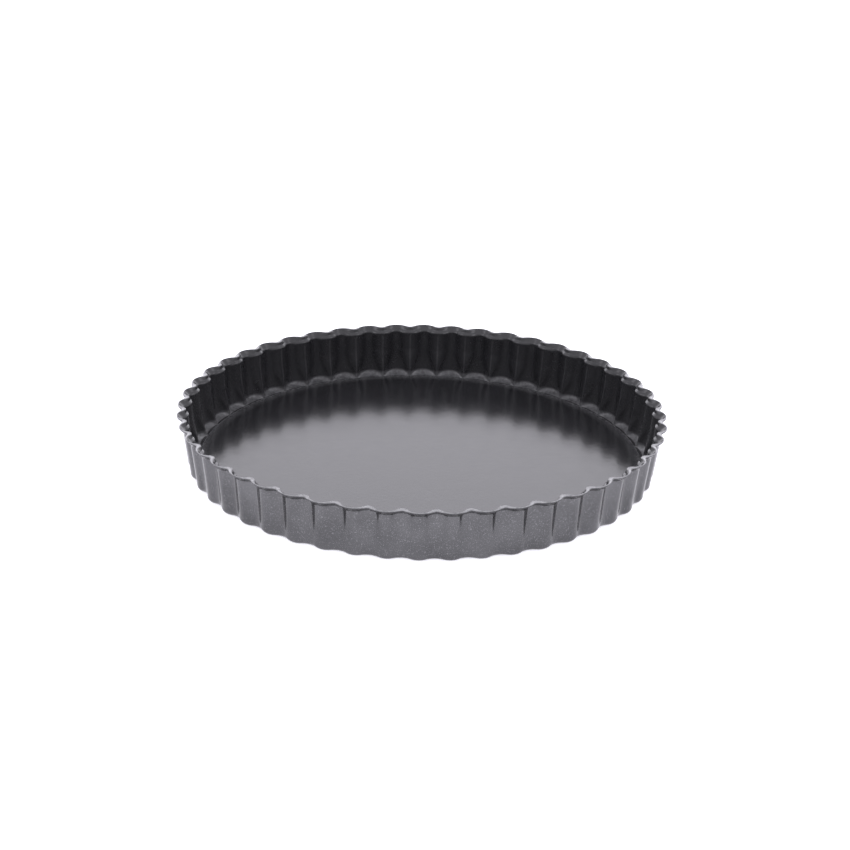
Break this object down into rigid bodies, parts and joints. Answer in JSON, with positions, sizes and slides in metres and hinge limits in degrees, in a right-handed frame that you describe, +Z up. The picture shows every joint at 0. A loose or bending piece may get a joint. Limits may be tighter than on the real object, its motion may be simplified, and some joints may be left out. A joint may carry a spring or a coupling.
{
  "type": "tart pan",
  "caption": "Round shallow tart pan with a fluted wall, a narrow flared lip and a loose flat base that lifts out.",
  "frame": {"origin": "on the pan's axis, on the plane it stands on", "axes": "+Z up along the pan's axis, +X through the outermost line of one flute's lobe, +Y through that of another"},
  "size_m": [0.28, 0.28, 0.031],
  "materials": {
    "ring_coating": "dark grey non-stick coating, satin",
    "base_coating": "dark grey non-stick coating, semi-gloss"
  },
  "bodies": {
    "ring": {"fluted_ring": "ring_coating"},
    "base": {"base_disc": "base_coating"}
  },
  "joints": [
    {"name": "base_lift", "type": "slide", "parent": "ring", "child": "base", "axis": [0, 0, 1], "range_m": [0, 0.05]}
  ]
}
